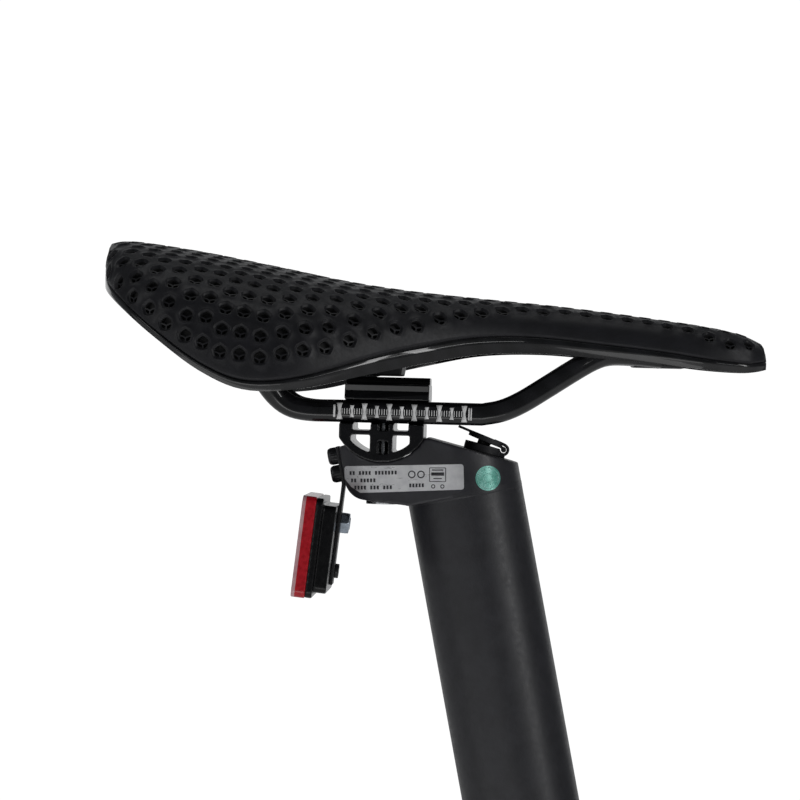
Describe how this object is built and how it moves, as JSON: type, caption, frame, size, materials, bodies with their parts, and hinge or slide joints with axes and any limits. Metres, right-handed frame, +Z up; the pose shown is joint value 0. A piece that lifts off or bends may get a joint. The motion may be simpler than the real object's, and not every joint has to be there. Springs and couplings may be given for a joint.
{
  "type": "battery seatpost with saddle",
  "caption": "Rigid battery seatpost, leaning as in use, with a one-bolt rail clamp, a dimpled saddle on oval rails, a capped charge port and a rear reflector.",
  "frame": {"origin": "centre of the tube's lower end, on the post's axis", "axes": "+X forward towards the saddle's nose, +Y to the rider's left, +Z up, with the post leaning back as in use"},
  "size_m": [0.2677, 0.143, 0.6245],
  "materials": {
    "powder_coat": "satin black powder coat",
    "cast_coat": "satin black coat on a casting",
    "clamp_coat": "satin black anodised casting",
    "bolt_steel": "bright steel",
    "gloss_carbon": "clear-coated carbon laminate",
    "saddle_cover": "matt moulded cover with dimples",
    "black_strip": "black coated strip",
    "black_steel": "black oxide steel",
    "black_plastic": "moulded black plastic",
    "red_lens": "red reflector lens",
    "zinc_steel": "bright zinc plate",
    "contact_brass": "plated contacts",
    "cap_rubber": "matt rubber",
    "label_film": "silver film",
    "green_film": "green foil disc",
    "cell_wrap": "shrink wrap",
    "holder_plastic": "spacer board",
    "nickel": "nickel strip",
    "sleeve_film": "shrink sleeve",
    "board_green": "circuit board",
    "lead_red": "insulated wire"
  },
  "bodies": {
    "post": {"post_tube": "powder_coat", "head_casting": "cast_coat", "rating_label": "label_film", "inspection_sticker": "green_film", "reflector_bracket": "black_strip", "bracket_screws": "black_steel", "reflector_housing": "black_plastic", "reflector_lens": "red_lens", "reflector_stud": "zinc_steel", "reflector_nut": "zinc_steel", "bracket_rivet": "black_steel", "charge_socket": "black_plastic", "socket_contacts": "contact_brass", "socket_bezel": "bolt_steel", "port_cap_base": "cap_rubber", "battery_cells": "cell_wrap", "cell_holders": "holder_plastic", "nickel_strips": "nickel", "insulation_sleeve": "sleeve_film", "bms_board": "board_green", "bms_parts": "black_plastic", "charge_lead": "lead_red", "output_lead": "lead_red", "end_cap": "black_plastic", "cap_seal": "cap_rubber", "cap_screws": "zinc_steel", "output_connector": "black_plastic", "connector_contacts": "contact_brass"},
    "clamp": {"lower_cradle": "clamp_coat", "upper_clamp": "clamp_coat", "clamp_bolt": "bolt_steel", "clamp_washer": "bolt_steel", "clamp_nut": "bolt_steel"},
    "saddle": {"rail_left": "gloss_carbon", "rail_right": "gloss_carbon", "shell_bosses": "gloss_carbon", "saddle_shell": "gloss_carbon", "saddle_pad": "saddle_cover"},
    "port_cap": {"port_cap_lid": "cap_rubber"}
  },
  "joints": [
    {"name": "saddle_tilt", "type": "hinge", "parent": "post", "child": "clamp", "pos_m": [-0.12705, 0, 0.551], "axis": [0, 1, 0], "range_deg": [-6, 6]},
    {"name": "saddle_slide", "type": "slide", "parent": "clamp", "child": "saddle", "axis": [0.9997, 0, -0.0262], "range_m": [-0.02, 0.008]},
    {"name": "port_cap_flip", "type": "hinge", "parent": "post", "child": "port_cap", "pos_m": [-0.07838, 0, 0.53552], "axis": [0, 1, 0], "range_deg": [-7, 140]}
  ]
}
